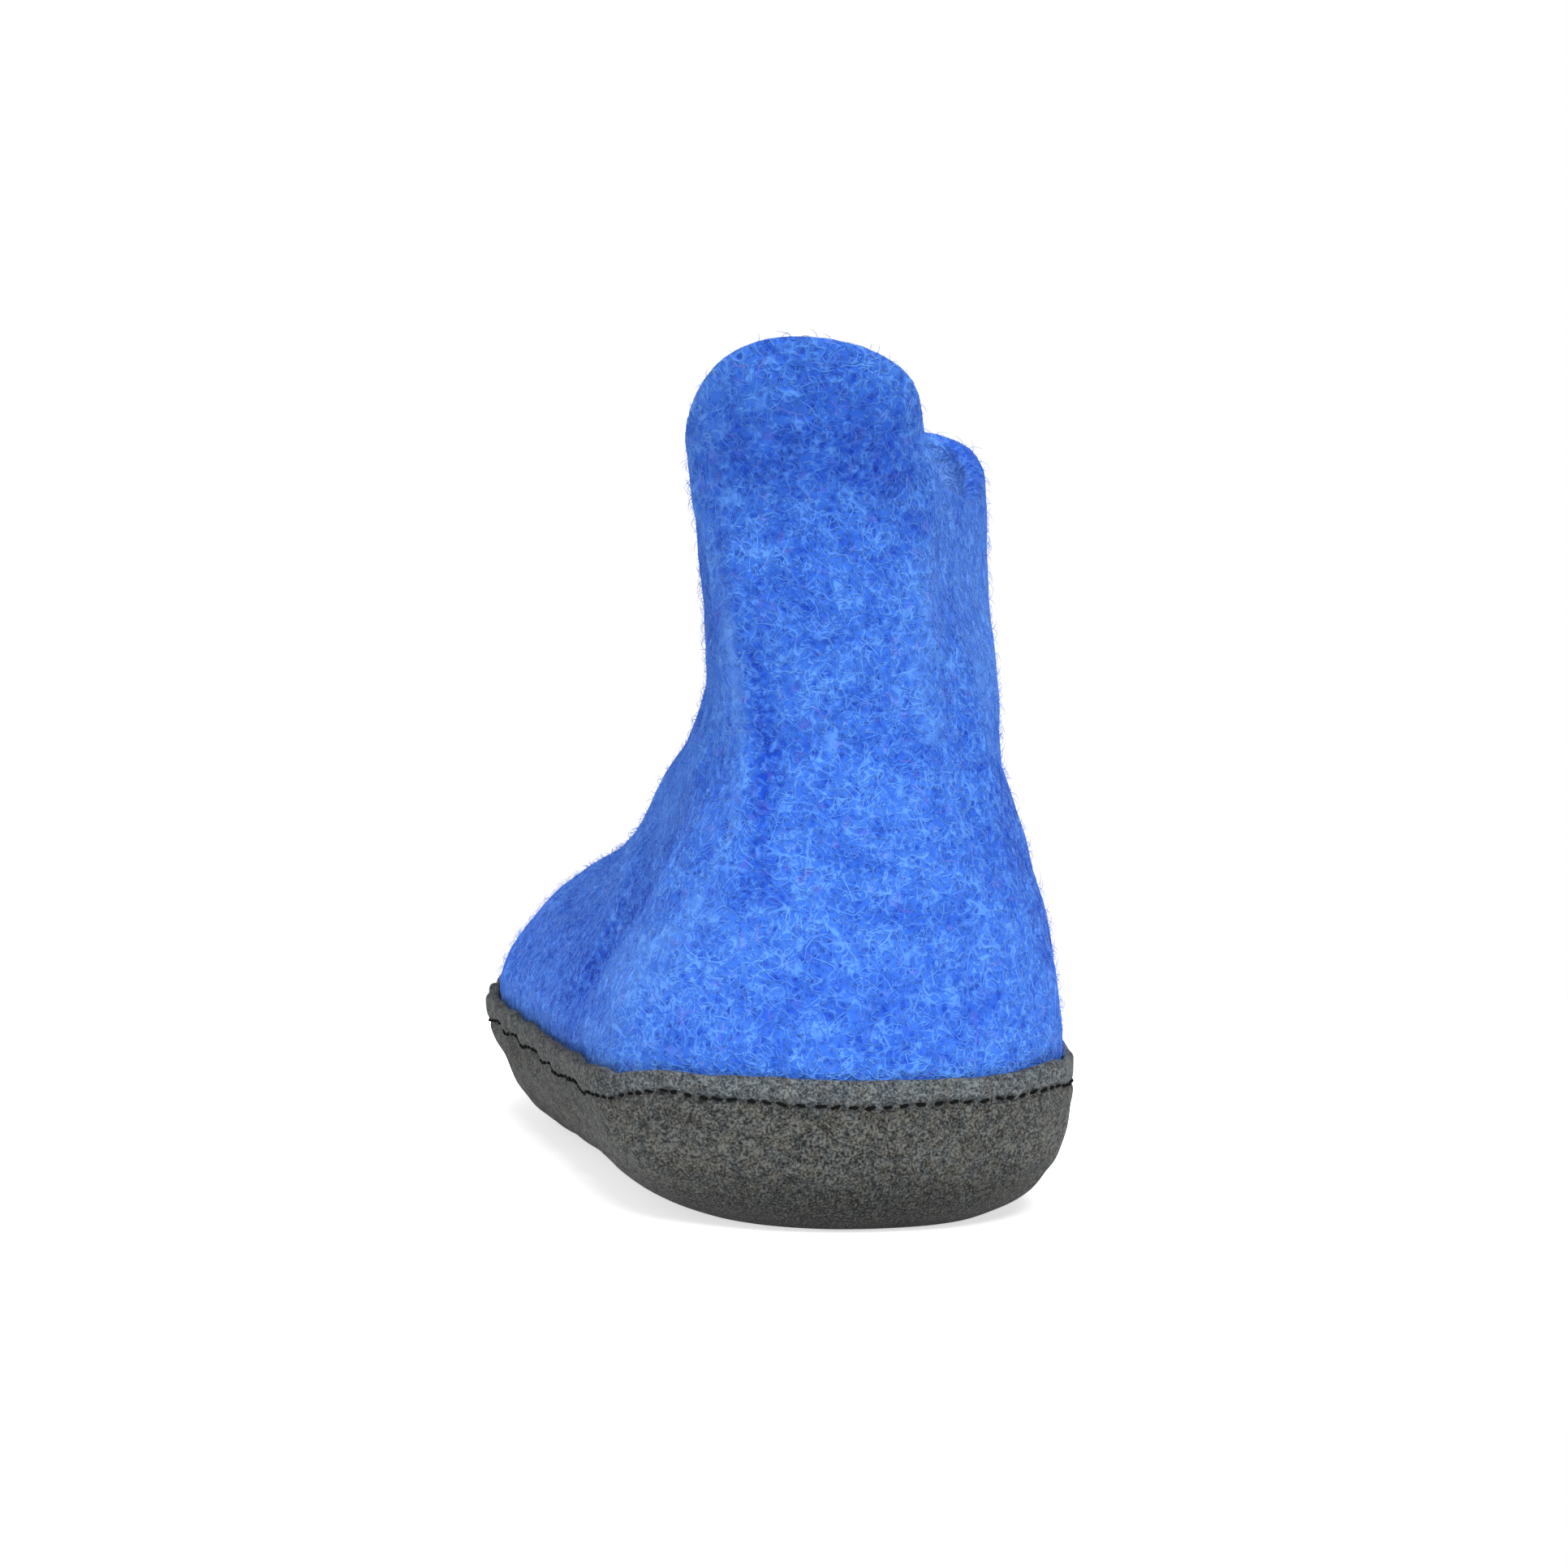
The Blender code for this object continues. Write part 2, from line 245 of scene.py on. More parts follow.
# Grain that the shaders draw.  Lengths are millimetres, limits are the two values that become
# 0 and 1, clouds have a length, a detail and a share, and spots have limits besides.
GRAIN_RUN = 2.2       # length of the grain of felt and suede from heel to toe, by its width
PIT_LENGTHS = (1.2, 2.0)       # spacings of the felt's small hollows
PIT_SHARES = (0.5, 0.3)
PIT_CURL = (1.6, 0.9)          # length and reach of their bends, by their spacing
PIT_LIMITS = (0.10, 0.75)      # from a hollow's middle to the web round it
GROUND_LIMITS = (0.05, 0.70)
FIBRE_LENGTHS = (3.2, 2.6, 2.1, 1.7, 1.4)   # spacings of the felt's thin fibres
FIBRE_CURL = (1.5, 1.4)
FIBRE_LIMITS = (0.06, 0.0)     # from a fibre's side to its middle
FIBRE_SHARE = 0.8
FIBRE_HEIGHT = 0.6
BREAK_LENGTH = 1.3             # spacing of the breaks in the fibres, by their own
BREAK_LIMITS = (0.36, 0.54)
FELT_DEPTH = 0.34
INSIDE_LIGHT_SHARE = 0.85            # how far the inside takes on its paler colour, painted light that lifts its shade
# Specks into which the painted shade is broken
DARK_SPOTS = (1.4, 1.0, (0.38, 0.62), 0.75)
DARK_BETWEEN = 0.25            # share of the painted shade between those spots
PATCH_CLOUDS = ((4.5, 2.0, 0.6), (15.0, 1.0, 0.4))
PATCH_LIMITS = (0.58, 0.38)
PATCH_SHARE = 0.48
ROSY_SPOTS = (2.4, 1.0, (0.60, 0.80), 0.25)
SUEDE_CURL = (1.6, 1.0)
SUEDE_BLOTCHES = (1.4, 2.0, 0.32)
SUEDE_FLECKS = (0.48, 2.0, 0.68)
SUEDE_FINE = (0.35, 1.0)       # length and detail
SUEDE_DEPTH = 0.65
FINE_HEIGHT = 0.4
DARK_LIMITS = (0.50, 0.38)
LIGHT_LIMITS = (0.49, 0.62)
SHADE_SHIFT = 0.04              # how far painted shade moves the flecks towards the dark
WARM_SPOTS = (2.6, 2.0, (0.42, 0.62), 1.0)
WARM_SHARE = 0.35
SPECK_LIMITS = (0.52, 0.70)
SPECK_SHARE = 0.4
BAND_CALM = 0.25               # how much plainer the band above the stitches is
THREAD_GRAIN = (0.5, 2.0)      # length and detail
THREAD_SHARE = 0.5
THREAD_DEPTH = 0.2
FLOOR_GRAIN = (60.0, 2.0)

# Colours, as they look on a screen
FELT_BLUE = (57, 112, 217)
# Painted shade in the felt's small hollows
FELT_PIT_SHADE = (34, 76, 188)
FELT_LIGHT = (98, 156, 240)
FELT_PINK = (116, 114, 214)
# Painted highlight along the wool's folds and ridges
FELT_PALE = (112, 166, 246)
FELT_SHADE = (122, 160, 218)   # share that is left of the other colours in patches of darker wool and under painted shade
# Painted light for the inner face, which lies in the collar's shade
FELT_INSIDE_LIGHT = (124, 174, 252)
FELT_HAZE = (130, 180, 255)
WOOL_HAZE = (95, 152, 255)
SUEDE_MID = (50, 51, 50)
SUEDE_DARK = (20, 21, 21)
SUEDE_LIGHT = (97, 99, 94)
SUEDE_RIM = (1.70, 1.86, 2.12, 1.0)   # times the other colours on the band above the stitches
SUEDE_SHADE = (114, 114, 114)   # share that is left of the other colours under painted shade
SUEDE_WARM = (84, 79, 71)
SUEDE_COOL = (66, 74, 79)
THREAD_BLACK = (12, 13, 14)
FLOOR_WHITE = (250, 250, 250)
FLOOR_CLOUD = (246, 246, 246)
# Colours of the strands by their tint, with a few that are purple
WOOL_TINTS = (
    (0.0, FELT_BLUE), (0.45, FELT_BLUE), (0.975, FELT_LIGHT), (0.985, FELT_LIGHT), (0.99, FELT_PINK),
)
CLOTH_SHINE = {"Roughness": 0.95, "Specular IOR Level": 0.15, "Sheen Roughness": 0.35}
FELT_SHEEN = 0.55
WOOL_SHEEN = 0.35
SUEDE_SHINE = {
    "Roughness": 0.92, "Specular IOR Level": 0.2, "Sheen Weight": 0.05, "Sheen Roughness": 0.5,
}
THREAD_SHINE = {"Roughness": 0.9, "Specular IOR Level": 0.05}
FLOOR_ROUGH = 0.9

# Camera, as fitted to the outline of heel, rim and collar
CAMERA_PLACE = (-99.15, -800.99, 98.0)
CAMERA_TURN = 7.5     # degrees to the right of +Y
CAMERA_DIP = 1.58     # degrees below level
CAMERA_LENS = 88.7
CAMERA_FILM = 36.0

# Light from behind the camera, a little to its right, and a weak one from the left: power,
# degrees above level, and degrees to the right of the camera
LIGHTS = {"key": (3.5, 50.0, 12.0), "fill": (0.35, 35.0, -65.0)}
LIGHT_SPREAD = 40.0
# Small lamp from the left for the inside of the collar, which the boot's back keeps in shade
LAMP_TARGET = (31.0, -37.0, 137.0)
LAMP_PLACE = (-400.0, -215.0, 308.0)
LAMP_POWER = 6.0
LAMP_BEAM = 3.4       # degrees across
LAMP_BLEND = 0.6      # share of the beam that fades out
LAMP_RADIUS = 0.02    # metres
SKY_POWER = 0.3
FLOOR_HALF = 0.32     # metres
FLOOR_GLOW = 0.70     # light of its own, as on a lit white sweep


def srgb(colour):
    """Screen colour, 0 to 255, as the linear colour that shaders take."""
    share = np.array(colour) / 255
    linear = np.where(share <= 0.04045, share / 12.92, ((share + 0.055) / 1.055) ** 2.4)
    return (*linear.tolist(), 1.0)


def smooth_through(places, values, place):
    """Values at each place on the smooth curve that passes through the columns of values."""
    slopes = np.gradient(values, places, axis=-1)
    row = np.clip(np.searchsorted(places, place, side="right") - 1, 0, len(places) - 2)
    span = places[row + 1] - places[row]
    t = (place - places[row]) / span
    rise = t * t * (3 - 2 * t)
    return (
        values[..., row] * (1 - rise)
        + values[..., row + 1] * rise
        + slopes[..., row] * span * t * (1 - t) ** 2
        - slopes[..., row + 1] * span * t * t * (1 - t)
    )


def rounded_end(share, power):
    share = np.clip(share, 0, 1)
    return (1 - (1 - share) ** power) ** (1 / power)


def ease(share):
    share = np.clip(share, 0, 1)
    return share * share * (3 - 2 * share)


def hump(share):
    return np.clip(1 - ((share - WAIST_AT) / WAIST_REACH) ** 2, 0, None) ** 2


def unit(vectors):
    return vectors / np.linalg.norm(vectors, axis=-1, keepdims=True)


def half_width(size, share, outer):
    """Half width of a ring at each share of the way from its back to its front."""
    length = FOOT_LENGTH - size["in_back"] - size["in_toe"]
    outer_heel = HEEL_HALF - size["in_heel_outer"]
    inner_heel = HEEL_HALF - size["in_heel_inner"]
    outer_ball = BALL_OUTER - size["in_ball_outer"]
    inner_ball = BALL_INNER - size["in_ball_inner"]
    outer_side = outer_heel + (outer_ball - outer_heel) * np.clip(share / BALL_AT, 0, 1)
    inner_side = inner_heel + (inner_ball - inner_heel) * ease(share / BALL_AT)
    inner_side = inner_side - size["waist"] * hump(share)
    toe_power = np.where(outer, OUTER_TOE_POWER, INNER_TOE_POWER)
    back = rounded_end(share * length / size["back_round"], BACK_POWER)
    front = rounded_end((1 - share) * length / size["front_round"], toe_power)
    return np.where(outer, outer_side, inner_side) * back * front


def outline_from_heel(level, around):
    """Plain outer face of the felt, measured from the back of the heel.

    Around runs from 0 at the back along the outer side to the toe at a half, and back along
    the inner side to 1.
    """
    level, around = np.broadcast_arrays(level, around)
    size = dict(zip(RING_COLUMNS, smooth_through(RING_LEVELS, RING_TABLE, level)))
    share = (1 - np.cos(2 * math.pi * around)) / 2
    outer = around % 1 <= 0.5
    width = half_width(size, share, outer)
    y = size["in_back"] + (FOOT_LENGTH - size["in_back"] - size["in_toe"]) * share
    bend = np.clip((y - TOE_FROM) / (FOOT_LENGTH - TOE_FROM), 0, None) ** 2
    x = np.where(outer, -width, width) + TOE_IN * bend
    spring = SPRING * np.clip((y - SPRING_FROM) / (FOOT_LENGTH - SPRING_FROM), 0, None) ** 2
    arch = np.where(outer, OUTER_ARCH, 1.0) * ARCH * hump(share)
    z = np.maximum(size["back_z"] + (size["front_z"] - size["back_z"]) * share, BED)
    z = z + size["ground"] * (spring + arch)
    outer_drop = smooth_through(COLLAR_PLACES, OUTER_DROPS, share)
    inner_drop = smooth_through(COLLAR_PLACES, INNER_DROPS, share)
    z = z - size["dip"] * np.where(outer, outer_drop, inner_drop)
    turn = np.radians(size["twist"])
    ahead = y - TWIST_AT
    turned_x = x * np.cos(turn) + ahead * np.sin(turn)
    turned_y = TWIST_AT + ahead * np.cos(turn) - x * np.sin(turn)
    return np.stack([turned_x, turned_y, z], axis=-1)


def outline_middle():
    """Middle of the sole-rim outline, which is the part's origin."""
    outline_points = outline_from_heel(SOLE_LINE, np.linspace(0, 1, 65))
    middle = (outline_points.min(axis=0) + outline_points.max(axis=0)) / 2
    return np.array([middle[0], middle[1], 0.0])


MIDDLE = outline_middle()


def outline(level, around):
    return outline_from_heel(level, around) - MIDDLE


def slopes(surface, up, around):
    """How a surface runs up and round at each place, for a whole step of either."""
    rise = (surface(up + NEAR, around) - surface(up - NEAR, around)) / (2 * NEAR)
    along = (surface(up, around + NEAR) - surface(up, around - NEAR)) / (2 * NEAR)
    return rise, along


def waves(points, length, seed):
    """Smooth random field, mostly -1 to 1, with bumps of about the given length."""
    draw = np.random.default_rng(seed)
    total = np.zeros(points.shape[:-1])
    for _ in range(WAVE_COUNT):
        direction = unit(draw.normal(size=3)) * draw.uniform(*WAVE_RATES) * 2 * math.pi / length
        total += np.sin(points @ direction + draw.uniform(0, 2 * math.pi))
    return total / math.sqrt(WAVE_COUNT / 2)


def summed_waves(points, rows):
    return sum(height * waves(points, length, seed) for height, length, seed in rows)


def distance_to_line(points, line):
    """Distance of each point from a line through the given points."""
    nearest = np.full(points.shape[:-1], np.inf)
    for start, end in zip(line, line[1:]):
        start = np.array(start, float)
        run = np.array(end, float) - start
        share = np.clip((points - start) @ run / (run @ run), 0, 1)
        off = points - start - share[..., None] * run
        nearest = np.minimum(nearest, np.linalg.norm(off, axis=-1))
    return nearest


def soft_band(points, height, width, line):
    """Height along a line that falls off softly on both sides."""
    return height * np.exp(-((distance_to_line(points, line) / width) ** 2))


def felt_form(points, level):
    """How far lumps and creases move the felt out, fading to nothing at the sole's rim."""
    moved = summed_waves(points, LUMPS)
    for crease in CREASES.values():
        moved = moved + soft_band(points, *crease)
    return moved * ease((level - SOLE_LINE) / LUMP_FADE)


def felt_shade(points):
    """How much painted highlight makes the wool paler at each point, or painted shade darker below
    nothing.
    """
    return sum(soft_band(points, *shade) for shade in SHADES.values())


def wall(points, normal, rise, outside, inside, turn, roundness):
    """Points of a wall with a round top: turn goes from 0 outside over the edge to pi inside."""
    out = np.sign(np.cos(turn)) * np.abs(np.cos(turn)) ** roundness
    over = np.abs(np.sin(turn)) ** roundness
    middle = (outside + inside) / 2
    half = (outside - inside) / 2
    return points + normal * (middle + half * out)[..., None] + rise * (half * over)[..., None]


def wrapped(up, around, top, edge):
    """Level, plain point, normal, rise and turn of a wall that runs up its outer face to 1, over
    its edge, and down its inner face again."""
    up, around = np.broadcast_arrays(up, around)
    inner = up > 1 + edge / 2
    level = top * np.where(inner, 1 - np.clip(up - 1 - edge, 0, 1), np.clip(up, 0, 1))
    rise, along = slopes(outline, level, around)
    turn = math.pi * np.clip((up - 1) / edge, 0, 1)
    return level, outline(level, around), unit(np.cross(rise, along)), unit(rise), turn


def below_edge(level, around, distance):
    """Level that lies a distance below another, down the slope."""
    rise, _ = slopes(outline, level, around)
    return level - distance / np.linalg.norm(rise, axis=-1)


def felt(up, around, formed=True):
    """Felt of the upper, from under the foot up to the collar and down inside."""
    top = below_edge(COLLAR, around, FELT / 2)
    level, points, normal, rise, turn = wrapped(up, around, top, COLLAR_EDGE)
    form = felt_form(points, level) if formed else np.zeros(level.shape)
    return wall(points, normal, rise, form, form - FELT, turn, COLLAR_ROUND)


def plain_felt(up, around):
    return felt(up, around, formed=False)


def rim_level(around):
    """Level of the sole's upper edge, with its hand-cut waves."""
    edge = outline(SOLE_LINE, around)
    cut = smooth_through(RIM_PLACES, RIM_RAISES, around % 1) + summed_waves(edge, RIM_WAVES)
    return below_edge(SOLE_LINE, around, SUEDE / 2 - cut)


def stitch_drop(around):
    """How far below the rim's edge the stitches run."""
    return STITCH_DROP + summed_waves(outline(SOLE_LINE, around), STITCH_WANDER)


def wall_step(around):
    """Length of a whole level in the sole's wall, just below the rim."""
    rise, _ = slopes(outline, SOLE_LINE - RIM_SLOPE_AT, around)
    return np.linalg.norm(rise, axis=-1)


def suede_relief(points, level, top, around):
    """How far the rim's band, the stitch groove and small lumps move the suede out."""
    drop = (top - level) * wall_step(around)
    line = stitch_drop(around)
    band = RIM_BULGE * np.clip(1 - ((drop - line / 2) / (line / 2)) ** 2, 0, None)
    groove = GROOVE * np.exp(-(((drop - line) / GROOVE_HALF) ** 2))
    lumps = summed_waves(points, SUEDE_LUMPS) * ease((level - TREAD) / SUEDE_LUMP_FADE)
    return band - groove + lumps


def suede(up, around):
    """Suede of the sole, from its flat bottom up to the rim and down inside."""
    top = rim_level(around)
    level, points, normal, rise, turn = wrapped(up, around, top, RIM_EDGE)
    relief = suede_relief(points, level, top, around)
    inside = np.full(level.shape, GAP)
    return wall(points, normal, rise, GAP + SUEDE + relief, inside, turn, RIM_ROUND)


def across(ring, steps):
    """Rings that draw in from a ring towards its middle line, the narrowest one first."""
    mirrored = np.roll(ring[::-1], 1, axis=0)
    middle = (ring + mirrored) / 2
    shares = np.linspace(NARROWEST, 1, steps, endpoint=False)
    return [middle + (ring - middle) * share for share in shares]


def strips(first, columns, facing_up):
    """Faces that close a ring across its middle line."""
    faces = []
    for i in range(columns // 2):
        strip = [first + i, first + i + 1, first + (columns - i - 1), first + (columns - i) % columns]
        strip = list(dict.fromkeys(strip))
        faces.append(strip[::-1] if facing_up else strip)
    return faces


def loft(name, rows, closed):
    """Mesh through rings of points, the last ring joined to the first or both closed across."""
    rows = np.array(rows)
    count, columns = rows.shape[:2]
    index = np.arange(count * columns).reshape(count, columns)
    if closed:
        index = np.vstack([index, index[:1]])
    beside = np.roll(index, -1, axis=1)
    quads = np.stack([index[:-1], index[1:], beside[1:], beside[:-1]], axis=-1).reshape(-1, 4)
    faces = quads.tolist()
    if not closed:
        faces += strips(0, columns, False) + strips((count - 1) * columns, columns, True)
    mesh = bpy.data.meshes.new(name)
    mesh.from_pydata((rows.reshape(-1, 3) * MM).tolist(), [], faces)
    piece = bpy.data.objects.new(name, mesh)
    bpy.context.scene.collection.objects.link(piece)
    lay_out(mesh, len(quads), columns)
    mesh.shade_smooth()
    return piece


def lay_out(mesh, quads, columns):
    """Texture map of a loft: round the boot across it, and ring by ring up it."""
    layer = mesh.uv_layers.new(name="OFBake")
    places = np.zeros((len(mesh.loops), 2), np.float32)
    face = np.arange(quads)
    row, column = face // columns, face % columns
    rows = row.max() + 1
    corners = np.stack([
        np.stack([column, row], -1),
        np.stack([column, row + 1], -1),
        np.stack([column + 1, row + 1], -1),
        np.stack([column + 1, row], -1),
    ], axis=1)
    places[: quads * 4] = corners.reshape(-1, 2) / (columns, rows)
    layer.data.foreach_set("uv", places.reshape(-1))


def value_of_each(mesh, name, values):
    """Store one number for each vertex, for the shaders to read."""
    layer = mesh.attributes.new(name, "FLOAT", "POINT")
    layer.data.foreach_set("value", np.asarray(values, np.float32).reshape(-1))


def make_upper():
    """Felt upper: one closed wall from under the foot up over the collar and down inside."""
    up = np.concatenate([
        np.linspace(*FELT_IN_SOLE),
        np.linspace(*FELT_SHOWN),
        np.linspace(1, 1 + COLLAR_EDGE, EDGE_RINGS)[1:],
        np.linspace(*FELT_LINING)[1:] + COLLAR_EDGE,
    ])
    around = np.arange(FELT_COLUMNS) / FELT_COLUMNS
    points = felt(up[:, None], around[None, :])
    piece = loft("upper", points, closed=True)
    # Where the inner face gets painted light
    value_of_each(piece.data, "inside", np.repeat(ease((up - 1) / COLLAR_EDGE - 0.5), FELT_COLUMNS))
    # Painted highlights and painted shade of the wool
    value_of_each(piece.data, "shade", felt_shade(points))
    return piece


def make_sole():
    """Suede sole: flat bottom, wall with its rim and groove, and the hidden inner face."""
    up = np.concatenate([
        np.linspace(*SUEDE_LOW),
        np.linspace(*SUEDE_HIGH),
        np.linspace(1, 1 + RIM_EDGE, EDGE_RINGS)[1:],
        np.linspace(*SUEDE_LINING)[1:] + RIM_EDGE,
    ])
    around = np.arange(SOLE_COLUMNS) / SOLE_COLUMNS
    rows = list(suede(up[:, None], around[None, :]))
    bottom = across(rows[0], SOLE_RINGS)
    bed = across(rows[-1], BED_RINGS)
    points = np.array(bottom + rows + bed[::-1])
    piece = loft("sole", points, closed=False)
    below = np.full(points.shape[:2], np.inf)
    below[len(bottom) : len(bottom) + len(rows)] = below_stitches(up, around)
    band = 1 - ease((below + BAND_FADE / 2) / BAND_FADE)
    # Painted shade in the stitch groove, near the floor and along the outer side
    groove = GROOVE_SHADE * np.exp(-((below / GROOVE_HALF) ** 2))
    # Painted shade: the band above the stitches is less pale on the outer side
    value_of_each(piece.data, "band", band * (1 - OUTER_CALM * outer_side(points)))
    value_of_each(piece.data, "painted_shade", np.maximum(suede_shade(points), groove))
    return piece


def outer_side(points):
    """How far points of the sole belong to its outer side."""
    return ease((-points[..., 0] - HEEL_HALF + OUTER_FROM) / OUTER_REACH)


def suede_shade(points):
    """How far painted shade darkens the suede: most at the floor, and some along the outer side."""
    low = ease((SHADE_HEIGHT - points[..., 2]) / SHADE_HEIGHT)
    return np.maximum(low, OUTER_SHADE * outer_side(points))


def below_stitches(up, around):
    """How far each point of the suede lies below the stitches, or above them below nothing."""
    top = rim_level(around)[None, :]
    level = wrapped(up[:, None], around[None, :], top, RIM_EDGE)[0]
    return (top - level) * wall_step(around) - stitch_drop(around)


def make_insole():
    """Felt insole: a slab with rounded edges that follows the sole."""
    around = np.arange(FELT_COLUMNS) / FELT_COLUMNS
    edge = outline(0.0, around)
    inward = edge.mean(axis=0) - edge
    inward = unit(inward * (1, 1, 0))
    rows = []
    for turn in np.linspace(-math.pi / 2, math.pi / 2, INSOLE_EDGE_RINGS):
        reach = FELT / 2 * (1 - math.cos(turn))
        height = FELT / 2 * (1 + math.sin(turn))
        rows.append(edge + inward * reach + (0, 0, height))
    bottom = across(rows[0], BED_RINGS)
    face = across(rows[-1], INSOLE_RINGS)
    return loft("insole", bottom + rows + face[::-1], closed=False)


def scatter(count, draw):
    """Random places on the felt above the rim, evenly over its area."""
    up_edges = np.linspace(WOOL_FROM, WOOL_INSIDE, WOOL_CELLS[0] + 1)
    around_edges = np.linspace(0, 1, WOOL_CELLS[1] + 1)
    up, around = np.meshgrid(up_edges[1:], around_edges[1:], indexing="ij")
    rise, along = slopes(plain_felt, up, around)
    area = np.linalg.norm(np.cross(rise, along), axis=-1).reshape(-1)
    cell = draw.choice(area.size, count, p=area / area.sum())
    up_step = up_edges[1] - up_edges[0]
    around_step = around_edges[1] - around_edges[0]
    up = up.reshape(-1)[cell] - draw.uniform(0, 1, count) * up_step
    around = around.reshape(-1)[cell] - draw.uniform(0, 1, count) * around_step
    return np.maximum(up, felt_at_rim(around)), around


def felt_at_rim(around):
    """Place up the felt where it comes out of the sole's rim."""
    top = below_edge(COLLAR, around, FELT / 2)
    return (rim_level(around) + WOOL_ABOVE_RIM) / top


def strand_paths(count, draw):
    """Wool strands that wander over the felt: points, normals beside them, and radii."""
    up, around = scatter(count, draw)
    heading = draw.uniform(0, 2 * math.pi, count)
    bend = draw.normal(0, STRAND_CURL, count)
    step = draw.uniform(*STRAND_LENGTHS, count) / (STRAND_POINTS - 1)
    points = []
    normals = []
    for place in np.linspace(0, 1, STRAND_POINTS):
        rise, along = slopes(plain_felt, up, around)
        normal = unit(np.cross(rise, along))
        lift = STRAND_LIFT * math.sin(math.pi * place) - STRAND_SINK * (2 * place - 1) ** 4
        uneven = draw.uniform(*STRAND_UNEVEN, count)[:, None]
        points.append(felt(up, around) + normal * lift * uneven)
        normals.append(normal)
        heading = heading + bend * step + draw.normal(0, STRAND_WANDER, count)
        up = up + np.cos(heading) * step / np.linalg.norm(rise, axis=-1)
        around = around + np.sin(heading) * step / np.linalg.norm(along, axis=-1)
        up = np.clip(up, felt_at_rim(around), WOOL_INSIDE)
    radius = draw.uniform(*STRAND_RADII, count)[:, None] * np.array(STRAND_TAPER)
    return np.stack(points, 1), np.stack(normals, 1), radius


def fuzz_paths(count, draw):
    """Short wool ends that stand off the felt."""
    up, around = scatter(count, draw)
    rise, along = slopes(plain_felt, up, around)
    normal = unit(np.cross(rise, along))
    heading = draw.uniform(0, 2 * math.pi, count)[:, None]
    lean = np.cos(heading) * unit(rise) + np.sin(heading) * unit(along)
    length = draw.uniform(*FUZZ_LENGTHS, count)[:, None]
    root = felt(up, around)
    points = []
    for place in FUZZ_PLACES:
        reach = lean * place ** FUZZ_LEAN_POWER * length * FUZZ_LEAN
        height = FUZZ_RISE * place - FUZZ_DROOP * place ** 2
        points.append(root + reach + normal * length * height - normal * FUZZ_SINK)
    points = np.stack(points, 1)
    radius = np.broadcast_to(FUZZ_RADIUS * np.array(FUZZ_TAPER), points.shape[:2])
    return points, np.broadcast_to(normal[:, None], points.shape), radius


def stitch_paths():
    """Stitches along the groove: each dips into the suede at both ends, some a little askew."""
    draw = np.random.default_rng(STITCH_SEED)
    finely = np.linspace(0, 1, LINE_POINTS)
    line = stitch_line(finely)
    gone = np.concatenate([[0], np.cumsum(np.linalg.norm(np.diff(line, axis=0), axis=1))])
    count = int(gone[-1] / STITCH_PITCH)
    shift = draw.uniform(-STITCH_SHIFT, STITCH_SHIFT, count)
    middle = (np.arange(count) + shift) * gone[-1] / count
    length = STITCH_LENGTH * draw.uniform(*STITCH_LENGTHS, count)
    tilt = draw.normal(0, STITCH_TILT, count)
    points = []
    normals = []
    for place in np.linspace(-0.5, 0.5, STITCH_POINTS):
        around = np.interp((middle + place * length) % gone[-1], gone, finely)
        up = stitch_up(around)
        rise, along = slopes(suede, up, around)
        normal = unit(np.cross(rise, along))
        height = STITCH_HEIGHT * THREAD - STITCH_DIP * THREAD * np.abs(2 * place) ** 3
        askew = (place * length * tilt)[:, None] * unit(rise)
        points.append(suede(up, around) + normal * height + askew)
        normals.append(normal)
    spread = draw.uniform(*THREAD_SPREAD, count)[:, None]
    radius = np.full((count, STITCH_POINTS), THREAD / 2) * spread
    return np.stack(points, 1), np.stack(normals, 1), radius


def stitch_up(around):
    """Place up the suede of the stitch groove."""
    top = rim_level(around)
    return (top - stitch_drop(around) / wall_step(around)) / top


def stitch_line(around):
    return suede(stitch_up(around), around)


def tubes(name, paths, normals, radii, sides, flatness=0.0):
    """Closed tubes along paths, all joined in one mesh.

    Flat ones are pressed onto what they lie on, and shaded more like it.
    """
    count, length = paths.shape[:2]
    forward = unit(np.gradient(paths, axis=1))
    beside = unit(np.cross(forward, normals))
    above = np.cross(beside, forward)
    angle = math.pi / 2 + np.arange(sides) * 2 * math.pi / sides
    pressed = np.sin(angle) * (1 - flatness)
    ring = np.cos(angle)[:, None] * beside[:, :, None] + pressed[:, None] * above[:, :, None]
    points = paths[:, :, None] + ring * radii[:, :, None, None]
    index = np.arange(count * length * sides).reshape(count, length, sides)
    turned = np.roll(index, -1, axis=2)
    quads = np.stack([index[:, :-1], index[:, 1:], turned[:, 1:], turned[:, :-1]], axis=-1)
    ends = np.concatenate([index[:, 0], index[:, -1, ::-1]])
    faces = quads.reshape(-1, 4).tolist() + ends.tolist()
    mesh = bpy.data.meshes.new(name)
    mesh.from_pydata((points.reshape(-1, 3) * MM).tolist(), [], faces)
    mesh.shade_smooth()
    if flatness:
        shading = unit(ring * (1 - flatness) + normals[:, :, None] * flatness)
        mesh.normals_split_custom_set_from_vertices(shading.reshape(-1, 3).tolist())
    spread_out(mesh, count, length * sides)
    piece = bpy.data.objects.new(name, mesh)
    bpy.context.scene.collection.objects.link(piece)
    return piece


def spread_out(mesh, count, points_each):
    """Texture map with a small square of its own for each tube."""
    layer = mesh.uv_layers.new(name="OFBake")
    corner = np.zeros(len(mesh.loops), np.int32)
    mesh.loops.foreach_get("vertex_index", corner)
    tube, place = corner // points_each, corner % points_each
    across_map = math.ceil(math.sqrt(count))
    along = np.stack([place, (place * MAP_STEP) % points_each], -1) / points_each
    inside = MAP_MARGIN + (1 - 2 * MAP_MARGIN) * along
    square = np.stack([tube % across_map, tube // across_map], -1)
    layer.data.foreach_set("uv", ((square + inside) / across_map).astype(np.float32).reshape(-1))


